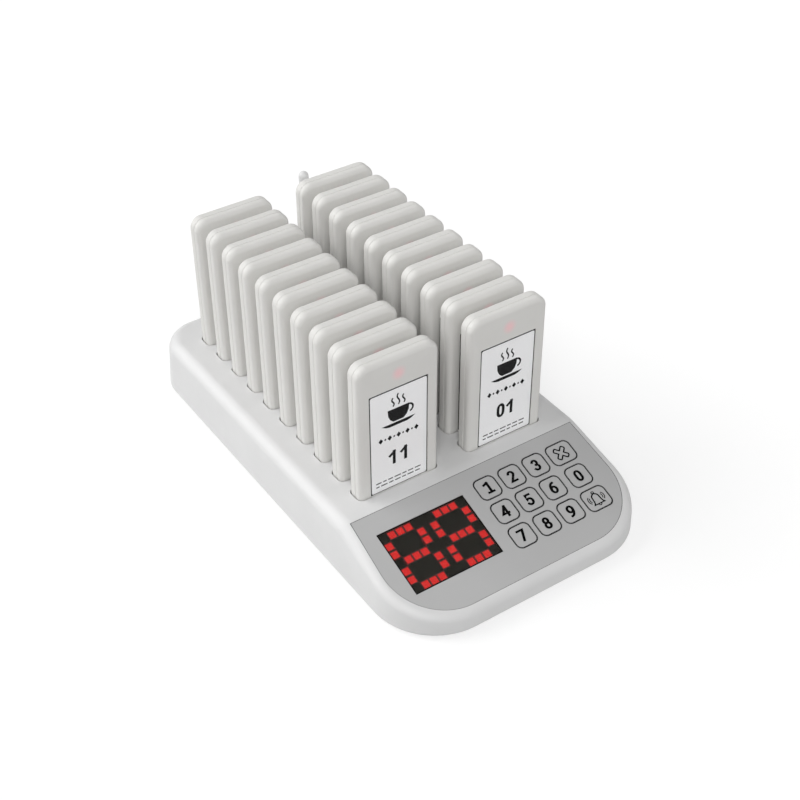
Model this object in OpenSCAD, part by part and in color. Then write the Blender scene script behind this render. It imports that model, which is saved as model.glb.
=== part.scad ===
// Guest pager system: a charging base with a keypad front and twenty pagers in two rows of slots.
// Millimetres. +X is right, +Y is back, +Z is up. The origin is on the table, under the middle of the base.

/* [Base] */
// Width of the base at its widest, just above the table
base_w = 174.6; // [168:0.2:200]
// Length of the base from front lip to rear wall
base_l = 306.4; // [304:0.2:340]
// Height of the flat deck above the table
deck_h = 39; // [38:0.5:50]
// Corner radius of the outline at the front
front_corner_r = 41; // [36:0.5:46]
// Corner radius of the outline at the rear
rear_corner_r = 26; // [20:0.5:36]
// Draft of the side walls, in degrees
draft = 4; // [2:0.5:6]
// Rounding of the edge round the deck
deck_edge_r = 8.7; // [6:0.1:10]
// Rounding of the edge round the sloped front
lip_edge_r = 5.5; // [4:0.1:6.5]
// Rounding of the lower edge
low_edge_r = 3; // [2:0.1:3.5]
// Wall of the top housing
wall = 2.4; // [1.8:0.1:3]

/* [Slope] */
// Slope of the keypad front, in degrees
slope = 18; // [15:0.5:19]
// Distance from the front of the base to the crease where the slope begins
slope_run = 78; // [76:0.5:84]
// Radius that softens the crease
crease_r = 30; // [10:1:40]

/* [Slots] */
// Spacing of the slots along a row
slot_pitch = 20; // [17:0.1:20.4]
// Spacing of the two rows
row_spacing = 75.4; // [68:0.1:78]
// Distance from the crease to the middle of the first slot
first_slot = 15.6; // [14:0.1:18]
// Deck kept free behind the middle of the last slot
rear_margin = 32.8; // [30:0.1:40]
// Gap round a pager in its slot
slot_gap = 0.6; // [0.4:0.1:1]
// Wall of a slot well
well_wall = 1.3; // [1:0.1:1.5]
// Floor of a slot well
well_floor = 1.6; // [1.2:0.1:2]

/* [Pager] */
// Width of a pager
pager_w = 54; // [50:0.5:58]
// Height of a pager
pager_h = 106; // [98:0.5:116]
// Thickness of a pager
pager_t = 11.4; // [10:0.1:13]
// Corner radius of the pager outline
pager_corner_r = 7.5; // [5:0.1:9]
// Rounding of the edges of the pager
pager_edge_r = 3; // [2:0.1:4]
// Wall of the pager shells
pager_wall = 1.5; // [1.2:0.1:1.8]
// How far a pager stands in its slot
pager_depth = 14.5; // [12:0.5:16]
// How far the parting line of the shells lies in front of their middle
parting = 0.8; // [0:0.1:1.2]
// Depth of the groove along the parting line
groove_d = 0.3; // [0.2:0.05:0.5]
// Width of the groove along the parting line
groove_w = 0.8; // [0.3:0.05:1]
// Width of the label pocket
label_w = 39.2; // [30:0.1:42]
// Height of the label pocket
label_h = 71.7; // [60:0.1:72]
// Distance from the top of the pager down to the label
label_drop = 20.4; // [20:0.1:24]
// Depth of the label pocket
label_depth = 0.9; // [0.7:0.1:1.1]
// Thickness of the label card
card_t = 0.3; // [0.2:0.05:0.4]
// Thickness of the clear cover over the label
cover_t = 0.4; // [0.3:0.05:0.5]

/* [Panel] */
// Width of the faceplate at the crease
panel_back_w = 157.6; // [152:0.2:160]
// Width of the faceplate at its widest
panel_front_w = 161.6; // [160:0.2:162]
// Length of the faceplate down the slope
panel_l = 74.3; // [72:0.1:75]
// Corner radius of the faceplate at the front
panel_corner_r = 36.5; // [34:0.5:39]
// Distance from the crease to the faceplate
panel_start = 1.8; // [1:0.1:3]
// Thickness of the faceplate
panel_t = 0.9; // [0.6:0.1:1.2]
// How far the faceplate lies below the slope
panel_sink = 0.15; // [0:0.05:0.3]

/* [Display] */
// Width of the display window
window_w = 59.1; // [54:0.1:60]
// Height of the display window, along the slope
window_l = 41.6; // [40.2:0.1:43]
// Middle of the window, left of the middle of the base
window_x = -40.2; // [-42:0.05:-39]
// Middle of the window, down the slope from the crease
window_u = 35.9; // [35:0.05:37]
// Spacing of the display dots across
dot_pitch_x = 5.45; // [4.5:0.05:5.6]
// Spacing of the display dots along the slope
dot_pitch_u = 5.85; // [4.5:0.05:6]
// Size of a display dot
dot_size = 4.3; // [3:0.1:4.4]
// Space between the two digits, from dot to dot
digit_gap = 9.1; // [7:0.1:10]

/* [Keys] */
// Size of a digit key
key_size = 14; // [12:0.1:15]
// Width of the cancel and call keys
wide_key_w = 16.8; // [16:0.1:18]
// Corner radius of a key
key_corner_r = 3.6; // [2:0.1:4.5]
// Spacing of the digit keys across
key_pitch_x = 17.7; // [17:0.1:18]
// Spacing of the keys along the slope
key_pitch_u = 17.75; // [17:0.05:18.2]
// Distance from the last digit column to the column of the wide keys
wide_pitch_x = 19.1; // [19:0.1:20]
// Middle of key 1, right of the middle of the base
first_key_x = 5.7; // [4.5:0.1:6.5]
// Middle of key 1, down the slope from the crease
first_key_u = 17.8; // [17:0.1:19]
// Gap round a key
key_gap = 0.3; // [0.25:0.05:0.4]
// Travel of a key
key_travel = 0.5; // [0.3:0.1:0.8]

/* [Antenna] */
// Diameter of the antenna rod
antenna_d = 6.5; // [5:0.5:8]
// Height of the antenna tip above the deck
antenna_h = 89; // [60:1:110]
// Distance of the antenna right of the middle of the base
antenna_x = 24.8; // [10:0.1:60]
// Distance of the antenna behind the middle of the last slot
antenna_back = 17; // [15.8:0.1:18]

/* [Underside] */
// Diameter of a rubber foot
foot_d = 14; // [10:0.5:16]
// How far a foot stands out below the base
foot_h = 1.8; // [1.4:0.1:2.4]
// Middle of the power inlet, right of the middle of the base
jack_x = -45; // [-52:1:52]
// Thickness of the bottom cover
cover_plate_t = 2.4; // [2:0.1:3]
// Diameter of the screw shanks
screw_d = 3; // [2.5:0.1:3.5]
// Clearance between pieces that do not touch
clear = 0.3; // [0.25:0.05:0.4]

/* [Hidden] */
$fn = 48;
eps = 0.01;

// ---- the base outline ----
half_w = base_w / 2;
half_l = base_l / 2;
front_y = -half_l;
rear_y = half_l;
wide_z = foot_h + low_edge_r;
crease_y = front_y + slope_run;
rear_corner = [half_w - rear_corner_r, rear_y - rear_corner_r];
front_corner = [half_w - front_corner_r, front_y + front_corner_r];
// How far the drafted wall has drawn in at height z
function drawn_in(z) = (z - wide_z) * tan(draft);

// ---- the rounded edge of the deck and of the slope ----
deck_ring_z = deck_h - deck_edge_r;
deck_ring_in = drawn_in(deck_ring_z) + deck_edge_r / cos(draft);
lip_z = deck_h - slope_run * tan(slope);
lip_ring_in = drawn_in(lip_z) + lip_edge_r / cos(draft);
lip_major_r = front_corner_r - lip_ring_in;
lip_ring_x = half_w - lip_ring_in - lip_major_r;
lip_ring_y = front_y + lip_ring_in;
lip_ring_u = (crease_y - lip_ring_y + lip_edge_r * sin(slope)) / cos(slope) - lip_major_r;
crease_centre_y = crease_y + crease_r * tan(slope / 2);
crease_steps = 3;

// ---- the inside of the housing ----
side_in = wall + 2.4;
top_in = side_in + 3.4;
cavity_step_z = deck_ring_z - 0.5;
deck_under = deck_h - wall;
cover_z = foot_h + 0.4;
cover_top = cover_z + cover_plate_t;
boss_d = 8;
boss_base = cover_top + eps;

// ---- pagers and slots: a row has as many slots as the base is long enough for ----
slots_per_row = floor((base_l - slope_run - first_slot - rear_margin) / slot_pitch + 1.01);
pager_count = 2 * slots_per_row;
pager_bottom = deck_h - pager_depth;
slot_w = pager_w + 2 * slot_gap;
slot_t = pager_t + 2 * slot_gap;
slot_end_r = pager_edge_r + slot_gap;
slot_bottom = pager_bottom - clear;
well_bottom = slot_bottom - well_floor;
row_y = crease_y + first_slot;
function pager_x(n) = (n <= slots_per_row ? 1 : -1) * row_spacing / 2;
function pager_y(n) = row_y + ((n - 1) % slots_per_row) * slot_pitch;
last_slot_y = row_y + (slots_per_row - 1) * slot_pitch;
half_t = pager_t / 2;
contact_spread = 16;
contact_d = 2.4;
label_z = pager_h - label_drop - label_h;
label_front = -half_t;
pocket_y = label_front + label_depth;
pocket_w = pager_w - 2 * pager_wall;
pocket_h = pager_h - 2 * pager_wall;
pocket_t = pager_t - 2 * (pager_wall + label_depth);
pocket_r = pager_corner_r - pager_wall;
pager_board_t = 1;
pager_board_side = 1.5;
light_drop = 11.5;
pager_light_z = pager_h - light_drop;
battery_w = 30;
battery_h = 40;
battery_t = 4.6;
battery_z = 24;
motor_d = 12;
motor_t = 3;
motor_z = 76;

// ---- levels below the slope, measured square to it ----
panel_top = -panel_sink;
panel_floor = panel_top - panel_t;
slope_under = panel_floor - wall;
key_top = panel_top;
flange_top = slope_under - clear;
flange_t = 0.8;
key_bottom = flange_top - flange_t - 0.6;
dome_top = key_bottom - key_travel - clear;
dome_h = 1;
mat_top = dome_top - dome_h;
mat_t = 0.8;
board_top = mat_top - mat_t;
board_t = 1.6;
window_t = panel_t;
module_top = panel_floor;
panel_gap = 0.15;

// ---- keys ----
keys = ["1", "2", "3", "cancel", "4", "5", "6", "0", "7", "8", "9", "call"];
function key_column(i) = i % 4;
function key_row(i) = floor(i / 4);
function key_x(i) = first_key_x
    + (key_column(i) < 3 ? key_column(i) * key_pitch_x : 2 * key_pitch_x + wide_pitch_x);
function key_u(i) = first_key_u + key_row(i) * key_pitch_u;
function key_w(i) = (keys[i] == "cancel" || keys[i] == "call") ? wide_key_w : key_size;
keypad_x = (key_x(0) + key_x(3)) / 2;
keypad_u = key_u(4);
keypad_w = key_x(3) - key_x(0) + wide_key_w;
keypad_l = 2 * key_pitch_u + key_size;

// ---- boards, screws and feet ----
main_board_x0 = window_x - window_w / 2;
main_board_x1 = key_x(3) + wide_key_w / 2 + 3;
main_board_u0 = first_key_u - key_size / 2 - 2;
main_board_u1 = key_u(8) + key_size / 2 + 3;
charge_board_top = well_bottom - 3;
charge_board_edge = 8;
charge_board_w = row_spacing + 2 * (contact_spread + charge_board_edge);
charge_board_y0 = row_y - charge_board_edge;
charge_board_y1 = last_slot_y + charge_board_edge;
buzzer_d = 12;
buzzer_h = 6.5;
jack_w = 9;
jack_h = 11;
jack_l = 14;
jack_bore = 6.2;
jack_pin = 2;
jack_z = foot_h + jack_h / 2 + cover_plate_t + 5;
jack_face_y = rear_y - side_in;
screw_x = half_w - side_in - boss_d / 2 - 1;
screw_behind_crease = 1.6;
screw_in_rear = 30;
screw_y_front = crease_y + screw_behind_crease;
screw_y_mid = row_y + 3.5 * slot_pitch;
screw_y_rear = rear_y - screw_in_rear;
screw_l = 12;
screw_head_d = 6;
screw_head_h = 1.6;
foot_recess = 1;
foot_in_side = 38;
foot_in_front = 32;
foot_in_rear = 18;
foot_places = [for (sx = [-1, 1]) for (y = [front_y + foot_in_front, rear_y - foot_in_rear])
    [sx * (half_w - foot_in_side), y]];
post_places = [for (sx = [-1, 1]) for (y = [row_y, last_slot_y]) [sx * (charge_board_w / 2 - 5), y]];
screw_places = [for (sx = [-1, 1]) for (y = [screw_y_front, screw_y_mid, screw_y_rear]) [sx * screw_x, y]];
board_posts = [for (x = [main_board_x0 + 2, first_key_x - key_size / 2 - 3.2, main_board_x1 - 1.4])
    for (u = [main_board_u0 - 1.5, main_board_u1 + 1.5]) [x, u]];

function two_digits(n) = str(n < 10 ? "0" : "", n);
pager_pieces = ["front_shell", "back_shell", "label_card", "label_cover", "board", "battery", "motor"];
open_pagers = [1, slots_per_row + 1];
closed_pagers = [for (n = [1:pager_count]) if (n != open_pagers[0] && n != open_pagers[1]) n];

// ---- shared shapes ----

// Puts its children on the slope: x across, y up the slope (so -u), z square to it
module on_slope() {
    translate([0, crease_y, deck_h]) rotate([slope, 0, 0]) children();
}

// A flat rounded rectangle, its middle at the origin
module rounded(w, l, r) {
    square([w - 2 * r, l], center = true);
    square([w, l - 2 * r], center = true);
    for (x = [-1, 1]) for (y = [-1, 1]) translate([x * (w / 2 - r), y * (l / 2 - r)]) circle(r);
}

// The outline of the base, drawn in by d
module base_outline(d) {
    for (m = [0, 1]) mirror([m, 0]) {
        translate(rear_corner) circle(rear_corner_r - d);
        translate(front_corner) circle(front_corner_r - d);
        translate([0, front_corner[1]]) square([half_w - d, rear_corner[1] - front_corner[1]]);
        translate([0, front_y + d]) square([front_corner[0], front_corner_r]);
        translate([0, rear_corner[1] - rear_corner_r]) square([rear_corner[0], 2 * rear_corner_r - d]);
    }
}

// A ring of tube radius r and middle radius big_r, flat on the ground
module ring(big_r, r) {
    rotate_extrude($fn = 64) translate([big_r, 0]) circle(r, $fn = 32);
}

// The outside of the top housing: one convex form with all its edges rounded
module housing_form() {
    hull() for (m = [0, 1]) mirror([m, 0, 0]) {
        translate([rear_corner[0], rear_corner[1], wide_z]) ring(rear_corner_r - low_edge_r, low_edge_r);
        translate([front_corner[0], front_corner[1], wide_z]) ring(front_corner_r - low_edge_r, low_edge_r);
        translate([rear_corner[0], rear_corner[1], deck_ring_z])
            ring(rear_corner_r - deck_ring_in, deck_edge_r);
        for (i = [0:crease_steps]) let (a = slope * i / crease_steps)
            translate([half_w - deck_ring_in, crease_centre_y - (crease_r - deck_edge_r) * sin(a),
                       deck_h - crease_r + (crease_r - deck_edge_r) * cos(a)])
                sphere(deck_edge_r, $fn = 32);
        on_slope() translate([lip_ring_x, -lip_ring_u, -lip_edge_r]) ring(lip_major_r, lip_edge_r);
    }
}

// The space under the deck and the slope, seen from the side, down to below the housing
module under_deck(top, slope_drop) {
    run = slope_run + 5;
    rotate([90, 0, 90]) translate([0, 0, -half_w]) linear_extrude(base_w) polygon([
        [front_y - 5, -5],
        [rear_y + 5, -5],
        [rear_y + 5, top],
        [crease_y + (deck_h - top - slope_drop / cos(slope)) / tan(slope), top],
        [crease_y - run, deck_h - slope_drop / cos(slope) - run * tan(slope)]]);
}

// Bosses for the housing screws, with room for their holes
module screw_bosses() {
    for (p = screw_places) translate([p[0], p[1], boss_base]) cylinder(h = deck_h, d = boss_d);
}

// Posts that the main board hangs from
module main_board_posts() {
    on_slope() for (p = board_posts) translate([p[0], -p[1], board_top])
        cylinder(h = -board_top, d = 4.6);
}

// Room for the display module, from under the board up to above the slope
module display_room() {
    on_slope() translate([window_x, -window_u, board_top - board_t]) linear_extrude(20)
        square([window_w + 2 * clear, window_l + 2 * clear], center = true);
}

// Everything that is hollow inside the housing
module housing_cavity() {
    difference() {
        union() {
            intersection() {
                translate([0, 0, -1]) linear_extrude(cavity_step_z + 1) base_outline(side_in);
                under_deck(deck_under, -slope_under);
            }
            intersection() {
                linear_extrude(deck_h) base_outline(top_in);
                under_deck(deck_under, -slope_under);
            }
            display_room();
        }
        screw_bosses();
        main_board_posts();
        for (n = [1:pager_count]) translate([pager_x(n), pager_y(n), well_bottom]) linear_extrude(deck_h)
            rounded(slot_w + 2 * well_wall, slot_t + 2 * well_wall, slot_end_r + well_wall);
    }
}

// The outline of the faceplate on the slope, grown by g
module panel_outline(g) {
    r = panel_corner_r + g;
    back = [panel_back_w / 2 + g, -panel_start + g];
    centre = [panel_front_w / 2 - panel_corner_r, -panel_start - panel_l + panel_corner_r];
    tangent = atan2(back[1] - centre[1], back[0] - centre[0]) - acos(r / norm(back - centre));
    right = [for (i = [0:24]) let (a = tangent - (tangent + 90) * i / 24) centre + r * [cos(a), sin(a)]];
    left = [for (i = [24:-1:0]) [-right[i][0], right[i][1]]];
    polygon(concat([back], right, left, [[-back[0], back[1]]]));
}

module key_outline(i, g) {
    rounded(key_w(i) + 2 * g, key_size + 2 * g, key_corner_r + g);
}

// ---- the base ----

module top_housing() color("gainsboro") difference() {
    housing_form();
    housing_cavity();
    // the slots
    for (n = [1:pager_count]) translate([pager_x(n), pager_y(n), slot_bottom])
        linear_extrude(deck_h) rounded(slot_w, slot_t, slot_end_r);
    // holes in the slot floors for the charging contacts
    for (n = [1:pager_count]) for (s = [-1, 1])
        translate([pager_x(n) + s * contact_spread, pager_y(n), well_bottom - 1])
            cylinder(h = well_floor + 2, d = contact_d + 2 * clear);
    // the recess for the faceplate and the holes for the keys; the display comes up through its room
    on_slope() {
        translate([0, 0, panel_floor]) linear_extrude(10) panel_outline(panel_gap);
        for (i = [0:11]) translate([key_x(i), -key_u(i), slope_under - 1]) linear_extrude(10)
            key_outline(i, key_gap);
    }
    for (p = screw_places) translate([p[0], p[1], 0])
        cylinder(h = cover_z + screw_head_h + screw_l + 1, d = screw_d);
    translate([antenna_x, last_slot_y + antenna_back, deck_under - 1]) cylinder(h = 10, d = antenna_d - 1.8);
    translate([jack_x, rear_y + 1, jack_z]) rotate([90, 0, 0]) cylinder(h = side_in + 2, d = jack_w - 1);
}

module bottom_cover() color("gainsboro") difference() {
    union() {
        translate([0, 0, cover_z]) linear_extrude(cover_plate_t) base_outline(side_in + clear);
        for (p = post_places) translate([p[0], p[1], cover_z])
            cylinder(h = charge_board_top - 1.6 - cover_z, d = 7);
    }
    for (p = screw_places) translate([p[0], p[1], 0]) {
        cylinder(h = cover_top + 1, d = screw_d + 0.4);
        cylinder(h = cover_z + screw_head_h, d = screw_head_d + 0.4);
    }
    for (p = foot_places) translate([p[0], p[1], 0]) cylinder(h = cover_z + foot_recess, d = foot_d);
}

module front_panel() color("silver") on_slope() difference() {
    translate([0, 0, panel_floor]) linear_extrude(panel_t) panel_outline(0);
    translate([window_x, -window_u, panel_floor - 1]) linear_extrude(10)
        square([window_w + 2 * panel_gap, window_l + 2 * panel_gap], center = true);
    for (i = [0:11]) translate([key_x(i), -key_u(i), panel_floor - 1]) linear_extrude(10)
        key_outline(i, key_gap);
}

module display_window() color([0.1, 0.08, 0.07, 0.6]) on_slope()
    translate([window_x, -window_u, panel_floor]) linear_extrude(window_t)
        square([window_w, window_l], center = true);

module display_module() color([0.14, 0.14, 0.12]) on_slope()
    translate([window_x, -window_u, board_top]) difference() {
        linear_extrude(module_top - board_top) square([window_w, window_l], center = true);
        dot_grid() translate([0, 0, module_top - board_top - 1]) cube([dot_size, dot_size, 4], center = true);
    }

// Runs its children over the lit dots of two eights, each five dots wide and seven high
module dot_grid() {
    first_x = -(digit_gap + 8 * dot_pitch_x) / 2;
    for (digit = [0, 1]) for (column = [0:4]) for (row = [0:6])
        if ((column % 4 == 0) != (row % 3 == 0))
            translate([first_x + digit * (4 * dot_pitch_x + digit_gap) + column * dot_pitch_x,
                       (3 - row) * dot_pitch_u, 0]) children();
}

module display_dots() color("red") on_slope() translate([window_x, -window_u, module_top - 1])
    dot_grid() translate([-dot_size / 2, -dot_size / 2, -2]) cube([dot_size, dot_size, 2.8]);

module keypad_mat() color("whitesmoke") on_slope() {
    translate([keypad_x, -keypad_u, board_top]) linear_extrude(mat_t) rounded(keypad_w, keypad_l, 3);
    for (i = [0:11]) translate([key_x(i), -key_u(i), board_top + mat_t - eps])
        cylinder(h = dome_h + eps, d1 = 9, d2 = 6);
}

module main_board() color("darkgreen") on_slope()
    translate([main_board_x0, -main_board_u1 - 2.5, board_top - board_t])
        cube([main_board_x1 - main_board_x0, main_board_u1 - main_board_u0 + 5, board_t]);

module buzzer() color([0.1, 0.1, 0.1]) on_slope()
    translate([0, -main_board_u0 - 2 * buzzer_d, board_top - board_t - buzzer_h]) difference() {
        cylinder(h = buzzer_h, d = buzzer_d);
        translate([0, 0, -1]) cylinder(h = 2.5, d = 2);
    }

module charging_board() color("darkgreen") translate([0, 0, charge_board_top - board_t])
    translate([-charge_board_w / 2, charge_board_y0, 0])
        cube([charge_board_w, charge_board_y1 - charge_board_y0, board_t]);

module charging_contacts() color("gold")
    for (n = [1:pager_count]) for (s = [-1, 1])
        translate([pager_x(n) + s * contact_spread, pager_y(n), charge_board_top]) {
            cylinder(h = well_bottom - 0.8 - charge_board_top, d = contact_d + 1.2);
            cylinder(h = slot_bottom - charge_board_top, d = contact_d - 0.8);
        }

module housing_screws() color("dimgray")
    for (p = screw_places) translate([p[0], p[1], cover_z]) difference() {
        union() {
            cylinder(h = screw_head_h, d = screw_head_d);
            cylinder(h = screw_head_h + screw_l, d = screw_d);
        }
        for (a = [0, 90]) rotate(a) cube([3.4, 0.8, 1.6], center = true);
    }

module rubber_feet() color([0.15, 0.15, 0.15])
    for (p = foot_places) translate([p[0], p[1], 0]) {
        cylinder(h = 1, d1 = foot_d - 2, d2 = foot_d);
        translate([0, 0, 1]) cylinder(h = cover_z + foot_recess - 1, d = foot_d);
    }

module antenna_rod() color("whitesmoke") translate([antenna_x, last_slot_y + antenna_back, 0]) {
    translate([0, 0, deck_h]) rotate_extrude() difference() {
        union() {
            square([antenna_d / 2, antenna_h - antenna_d / 2]);
            translate([0, antenna_h - antenna_d / 2]) circle(antenna_d / 2);
        }
        translate([-antenna_d, 0]) square([antenna_d, antenna_h + antenna_d]);
    }
    translate([0, 0, deck_under - 8]) cylinder(h = 8 + wall, d = antenna_d - 2);
}

module antenna_collar() color("gainsboro") translate([antenna_x, last_slot_y + antenna_back, 0]) {
    translate([0, 0, deck_h]) difference() {
        cylinder(h = 3, d1 = antenna_d + 6, d2 = antenna_d + 3);
        translate([0, 0, -1]) cylinder(h = 5, d = antenna_d + 0.1);
    }
    translate([0, 0, deck_under - 3]) difference() {
        cylinder(h = 3, d = antenna_d + 3, $fn = 6);
        translate([0, 0, -1]) cylinder(h = 5, d = antenna_d - 1.9);
    }
}

module power_inlet() color([0.1, 0.1, 0.1]) translate([jack_x, jack_face_y, jack_z]) difference() {
    union() {
        translate([-jack_w / 2, -jack_l, -jack_h / 2]) cube([jack_w, jack_l, jack_h]);
        rotate([-90, 0, 0]) cylinder(h = side_in - drawn_in(jack_z) - 0.6, d = jack_w - 1.2);
    }
    translate([0, side_in, 0]) rotate([90, 0, 0]) difference() {
        cylinder(h = side_in + 9, d = jack_bore);
        translate([0, 0, 2]) cylinder(h = side_in + 9, d = jack_pin);
    }
}

// ---- keys ----

module key(i) color("silver") on_slope() translate([key_x(i), -key_u(i), 0]) {
    translate([0, 0, key_bottom]) linear_extrude(key_top - key_bottom) key_outline(i, 0);
    translate([0, 0, flange_top - flange_t]) linear_extrude(flange_t) key_outline(i, key_gap + 0.6);
}

// ---- pagers ----

// Section through the edge of a pager, from the middle of a corner out, between two heights
module pager_section(low, high) {
    difference() {
        intersection() {
            union() {
                translate([0, -half_t]) square([pager_corner_r - pager_edge_r, pager_t]);
                translate([0, pager_edge_r - half_t]) square([pager_corner_r, pager_t - 2 * pager_edge_r]);
                for (s = [-1, 1]) translate([pager_corner_r - pager_edge_r, s * (half_t - pager_edge_r)])
                    circle(pager_edge_r);
            }
            translate([0, low]) square([pager_corner_r, high - low]);
        }
        translate([pager_corner_r - groove_d, parting - groove_w / 2]) square([1, groove_w]);
    }
}

// A pager lying on its back, or one shell of it, made by sweeping that section round the outline
module pager_slab(low, high) {
    span_x = pager_w - 2 * pager_corner_r;
    span_y = pager_h - 2 * pager_corner_r;
    translate([-span_x / 2, -span_y / 2, low]) cube([span_x, span_y, high - low]);
    for (a = [0:3]) {
        along = a % 2 == 0 ? span_x : span_y;
        across = a % 2 == 0 ? span_y : span_x;
        rotate(90 * a) translate([along / 2, across / 2, 0]) {
            rotate_extrude(angle = 90) pager_section(low, high);
            rotate([90, 0, 0]) linear_extrude(across) pager_section(low, high);
        }
    }
}

// Stands a slab on its short edge, with its upper side to the front
module stand() {
    translate([0, 0, pager_h / 2]) rotate([90, 0, 0]) children();
}

module label_pocket() {
    translate([-label_w / 2, label_front - 1, label_z]) cube([label_w, label_depth + 1, label_h]);
}

module pager_hollow() {
    translate([0, pocket_t / 2, pager_wall + pocket_h / 2]) rotate([90, 0, 0])
        linear_extrude(pocket_t) rounded(pocket_w, pocket_h, pocket_r);
}

module at_pager(n) {
    translate([pager_x(n), pager_y(n), pager_bottom]) children();
}

module front_shell() color([0.86, 0.86, 0.85]) difference() {
    stand() pager_slab(parting, half_t);
    label_pocket();
    pager_hollow();
    translate([0, pocket_y + 1, pager_light_z]) rotate([90, 0, 0]) cylinder(h = 1.5, d = 5);
    contact_holes();
}

module back_shell() color([0.86, 0.86, 0.85]) difference() {
    stand() pager_slab(-half_t, parting);
    pager_hollow();
    contact_holes();
}

module contact_holes() {
    for (s = [-1, 1]) translate([s * contact_spread, 0, -1]) cylinder(h = pager_wall + 2, d = 5);
}

module label_card() color("white")
    translate([-label_w / 2 + 0.1, pocket_y - card_t, label_z + 0.1])
        cube([label_w - 0.2, card_t, label_h - 0.2]);

module label_cover() color([0.9, 0.95, 1, 0.3])
    translate([-label_w / 2 + 0.1, pocket_y - card_t - cover_t, label_z + 0.1])
        cube([label_w - 0.2, cover_t, label_h - 0.2]);

module pager_board() {
    color("darkgreen") translate([0, pocket_t / 2, pager_wall + (pocket_h - pager_board_side) / 2])
        rotate([90, 0, 0]) linear_extrude(pager_board_t)
            rounded(pocket_w - 2 * pager_board_side, pocket_h - pager_board_side,
                pocket_r - pager_board_side);
    color("red") translate([0, pocket_t / 2 - pager_board_t, pager_light_z]) rotate([90, 0, 0])
        cylinder(h = 3.6, d = 4);
    color("gold") for (s = [-1, 1]) translate([s * contact_spread, 0, 0]) {
        cylinder(h = pager_wall, d = 4.6);
        translate([-2, 0, pager_wall]) cube([4, pocket_t / 2 - pager_board_t, 3]);
    }
}

module pager_battery() color("steelblue")
    translate([-battery_w / 2, pocket_t / 2 - pager_board_t - battery_t, battery_z])
        cube([battery_w, battery_t, battery_h]);

module pager_motor() color("silver")
    translate([0, pocket_t / 2 - pager_board_t, motor_z]) rotate([90, 0, 0])
        cylinder(h = motor_t, d = motor_d);

// One piece of an opened-up pager, by its name
module pager_piece(piece) {
    if (piece == "front_shell") front_shell();
    if (piece == "back_shell") back_shell();
    if (piece == "label_card") label_card();
    if (piece == "label_cover") label_cover();
    if (piece == "board") pager_board();
    if (piece == "battery") pager_battery();
    if (piece == "motor") pager_motor();
}

// A pager in one node: its closed shells, with the pocket for its label
module closed_pager() color([0.86, 0.86, 0.85]) difference() {
    stand() pager_slab(-half_t, half_t);
    label_pocket();
}

top_housing();
bottom_cover();
front_panel();
display_window();
display_module();
display_dots();
keypad_mat();
main_board();
buzzer();
charging_board();
charging_contacts();
housing_screws();
rubber_feet();
antenna_rod();
antenna_collar();
power_inlet();
for (i = [0:11])
    key(i);
for (n = open_pagers) for (p = pager_pieces)
    at_pager(n) pager_piece(p);
for (n = closed_pagers)
    at_pager(n) closed_pager();
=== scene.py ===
import math
import bmesh
import bpy
from mathutils import Matrix, Vector


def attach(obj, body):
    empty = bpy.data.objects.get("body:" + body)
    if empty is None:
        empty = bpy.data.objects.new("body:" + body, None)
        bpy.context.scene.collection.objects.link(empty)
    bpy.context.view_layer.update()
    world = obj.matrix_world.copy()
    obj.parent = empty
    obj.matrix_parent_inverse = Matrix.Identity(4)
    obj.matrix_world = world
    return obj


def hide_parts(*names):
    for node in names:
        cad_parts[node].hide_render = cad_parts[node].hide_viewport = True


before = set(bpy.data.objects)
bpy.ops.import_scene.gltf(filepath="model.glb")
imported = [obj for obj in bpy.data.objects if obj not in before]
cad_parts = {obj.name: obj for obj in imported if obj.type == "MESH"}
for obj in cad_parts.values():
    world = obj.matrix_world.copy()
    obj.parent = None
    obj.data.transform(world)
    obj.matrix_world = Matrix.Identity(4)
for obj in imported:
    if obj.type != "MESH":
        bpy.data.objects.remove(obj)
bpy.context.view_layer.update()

scene = bpy.context.scene
scene.view_settings.view_transform = "Standard"
mm = 0.001  # every shape is drawn in millimetres and scaled once, when its mesh is made

# the photograph's point of view: degrees, metres for the place, millimetres for lens and sensor
camera = {"azimuth": -33.84, "elevation": 38.64, "roll": -0.40,
          "place": (-0.3818, -0.5795, 0.5951), "lens": 64.95, "sensor": 36, "near": 0.01, "far": 20}


def placeCamera():
    data = bpy.data.cameras.new("camera")
    data.lens, data.sensor_width = camera["lens"], camera["sensor"]
    data.clip_start, data.clip_end = camera["near"], camera["far"]
    obj = bpy.data.objects.new("camera", data)
    scene.collection.objects.link(obj)
    a, e, r = (math.radians(camera[k]) for k in ("azimuth", "elevation", "roll"))
    back = Vector((math.sin(a) * math.cos(e), -math.cos(a) * math.cos(e), math.sin(e)))
    right = Vector((math.cos(a), math.sin(a), 0))
    up = back.cross(right)
    across = right * math.cos(r) + up * math.sin(r)
    upward = up * math.cos(r) - right * math.sin(r)
    turn = Matrix((across, upward, back)).transposed()
    obj.matrix_world = Matrix.LocRotScale(camera["place"], turn, None)
    scene.camera = obj


placeCamera()
print("camera placed")


# a shape is a list of corners and a list of faces, in millimetres; an outline is a list of x, y

def arc(centre, radius, start, end, steps, tall=1.0):
    # part of a circle, in degrees; tall stretches it upwards into part of an oval
    angles = [math.radians(start + (end - start) * i / steps) for i in range(steps + 1)]
    x, y = centre
    return [(x + radius * math.cos(a), y + radius * tall * math.sin(a)) for a in angles]


def mirrored(right):
    # closes a right half with the same points on the left
    return right + [(-x, y) for x, y in reversed(right)]


def roundedRect(width, height, radius, steps=10):
    w, h = width / 2 - radius, height / 2 - radius
    corners = ((w, -h, -90), (w, h, 0), (-w, h, 90), (-w, -h, 180))
    return [p for x, y, a in corners for p in arc((x, y), radius, a, a + 90, steps)]


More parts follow.
